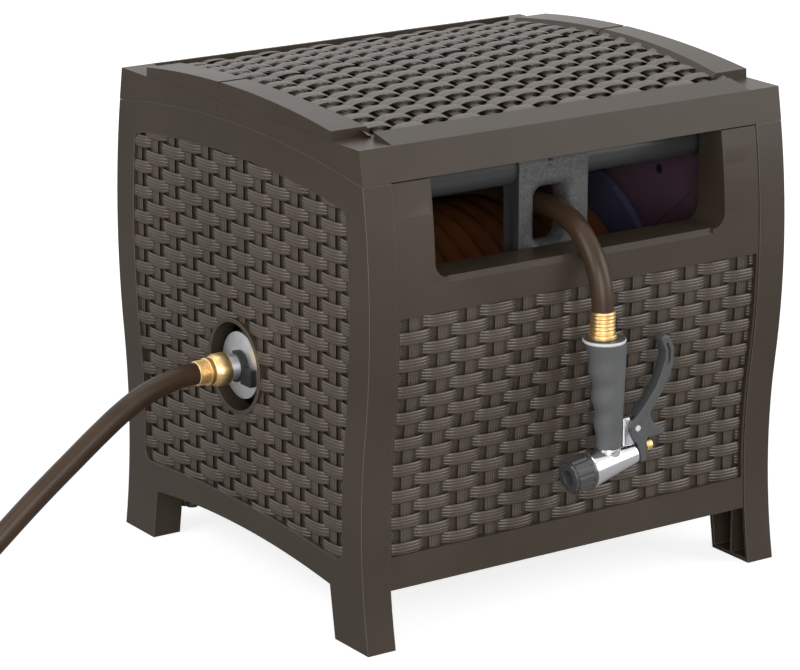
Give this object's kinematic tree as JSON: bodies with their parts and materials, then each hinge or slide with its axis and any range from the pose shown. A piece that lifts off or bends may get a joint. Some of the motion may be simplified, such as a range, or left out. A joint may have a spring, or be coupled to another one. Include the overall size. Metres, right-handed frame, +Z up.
{
  "type": "hose reel",
  "caption": "Hose reel in a moulded wicker-pattern box with a hinged lid, geared drum and hose guide, spray nozzle and leader hose.",
  "frame": {"origin": "bottom centre of the box, on the floor between its feet", "axes": "+Z up, the front with its hose window faces -Y, +X is the right-hand side seen from the front"},
  "size_m": [1.0892, 0.5669, 0.5146],
  "materials": {
    "resin": "moulded resin, satin, wicker pattern",
    "tray_plastic": "moulded, matt",
    "frame_plastic": "moulded, matt",
    "tube_black": "extruded, satin black",
    "flange_dark": "moulded, smoky",
    "flange_clear": "clear tinted",
    "guide_grey": "fine grained",
    "gear_white": "acetal",
    "steel": "plain",
    "brass": "turned",
    "hose": "smooth, semi-gloss",
    "motor_plastic": "moulded",
    "lever_red": "moulded",
    "inlet_metal": "cast, satin",
    "black_rubber": "matt",
    "collar_white": "gloss white",
    "grip_grey": "soft grip",
    "nozzle_chrome": "polished",
    "nozzle_black": "gloss"
  },
  "bodies": {
    "housing": {"left_side_panel": "resin", "right_side_panel": "resin", "front_panel": "resin", "back_panel": "resin", "base_tray": "tray_plastic", "rear_lid": "resin", "hinge_pins": "steel", "lid_screws": "steel", "panel_screws": "steel", "left_reel_frame": "frame_plastic", "right_reel_frame": "frame_plastic", "frame_screws": "steel", "guide_tube": "tube_black", "guide_rod": "steel", "idler_pins": "steel", "gear_cover": "frame_plastic", "water_motor": "motor_plastic", "supply_pipe": "motor_plastic", "drain_spout": "motor_plastic", "inlet_fitting": "inlet_metal", "inlet_seal": "black_rubber", "inlet_clip": "black_rubber", "leader_swivel_nut": "brass", "leader_ferrule": "brass", "leader_hose": "hose", "leader_coil": "hose", "leader_end_ferrule": "brass", "end_washer": "black_rubber", "coil_tie": "black_rubber"},
    "front_lid": {"front_lid": "resin"},
    "drum": {"drum_axle": "tube_black", "drum_hub": "tube_black", "left_flange": "flange_dark", "right_flange": "flange_clear", "hub_elbow": "brass", "hose_pack_core": "hose", "hose_winding": "hose", "drum_gear": "gear_white", "drive_gear": "gear_white"},
    "idler_a": {"idler_gear_a": "gear_white"},
    "idler_b": {"idler_gear_b": "gear_white"},
    "screw": {"traverse_screw": "gear_white", "screw_gear": "gear_white"},
    "guide": {"guide_block": "guide_grey", "guide_pawl": "steel", "outlet_hose": "hose", "outlet_ferrule": "brass", "nozzle_collar": "collar_white", "nozzle_grip": "grip_grey", "nozzle_head": "nozzle_chrome", "nozzle_tip": "nozzle_black", "nozzle_pivot_pin": "collar_white"},
    "nozzle_lever": {"nozzle_lever": "grip_grey"},
    "nozzle_stem": {"nozzle_stem": "steel", "nozzle_adjuster": "brass"},
    "motor_pinion": {"motor_pinion": "gear_white"},
    "rewind_lever": {"rewind_lever": "lever_red"},
    "end_nut": {"leader_end_nut": "brass"}
  },
  "joints": [
    {"name": "lid_hinge", "type": "hinge", "parent": "housing", "child": "front_lid", "pos_m": [0, 0.0268, 0.50923], "axis": [1, 0, 0], "range_deg": [-90, 0]},
    {"name": "drum_spin", "type": "hinge", "parent": "housing", "child": "drum", "pos_m": [0, 0.008, 0.23], "axis": [1, 0, 0], "range_deg": [-1950, 1950]},
    {"name": "idler_a_spin", "type": "hinge", "parent": "housing", "child": "idler_a", "pos_m": [0.21, -0.02616, 0.30455], "axis": [1, 0, 0], "range_deg": [-910, 910]},
    {"name": "idler_b_spin", "type": "hinge", "parent": "housing", "child": "idler_b", "pos_m": [0.21, -0.09643, 0.39176], "axis": [1, 0, 0], "range_deg": [-910, 910]},
    {"name": "screw_spin", "type": "hinge", "parent": "housing", "child": "screw", "pos_m": [0, -0.162, 0.441], "axis": [1, 0, 0], "range_deg": [-1960, 1960]},
    {"name": "guide_slide", "type": "slide", "parent": "housing", "child": "guide", "axis": [1, 0, 0], "range_m": [-0.124, 0.124]},
    {"name": "nozzle_squeeze", "type": "hinge", "parent": "guide", "child": "nozzle_lever", "pos_m": [0.0406, -0.266, 0.1884], "axis": [0, 1, 0], "range_deg": [-15, 0], "stiffness_Nm_per_rad": 0.3},
    {"name": "stem_slide", "type": "slide", "parent": "guide", "child": "nozzle_stem", "axis": [0.9907, 0, 0.1357], "range_m": [0, 0.0075]},
    {"name": "pinion_spin", "type": "hinge", "parent": "housing", "child": "motor_pinion", "pos_m": [-0.187, 0.07518, 0.16282], "axis": [1, 0, 0], "range_deg": [-10410, 10410]},
    {"name": "rewind_throw", "type": "hinge", "parent": "housing", "child": "rewind_lever", "pos_m": [-0.217, 0.081, 0.222], "axis": [1, 0, 0], "range_deg": [-35, 0]},
    {"name": "end_nut_spin", "type": "hinge", "parent": "housing", "child": "end_nut", "pos_m": [-0.64813, 0.24397, 0.04], "axis": [0.9397, 0.342, 0], "continuous": true}
  ],
  "couplings": [
    {"joint": "idler_a_spin", "follows": "drum_spin", "ratio": -0.46429},
    {"joint": "idler_b_spin", "follows": "drum_spin", "ratio": 0.46429},
    {"joint": "screw_spin", "follows": "drum_spin", "ratio": -1},
    {"joint": "guide_slide", "follows": "drum_spin", "m_per_rad": -0.0036287},
    {"joint": "pinion_spin", "follows": "drum_spin", "ratio": -5.3333},
    {"joint": "stem_slide", "follows": "nozzle_squeeze", "m_per_rad": -0.0275}
  ]
}
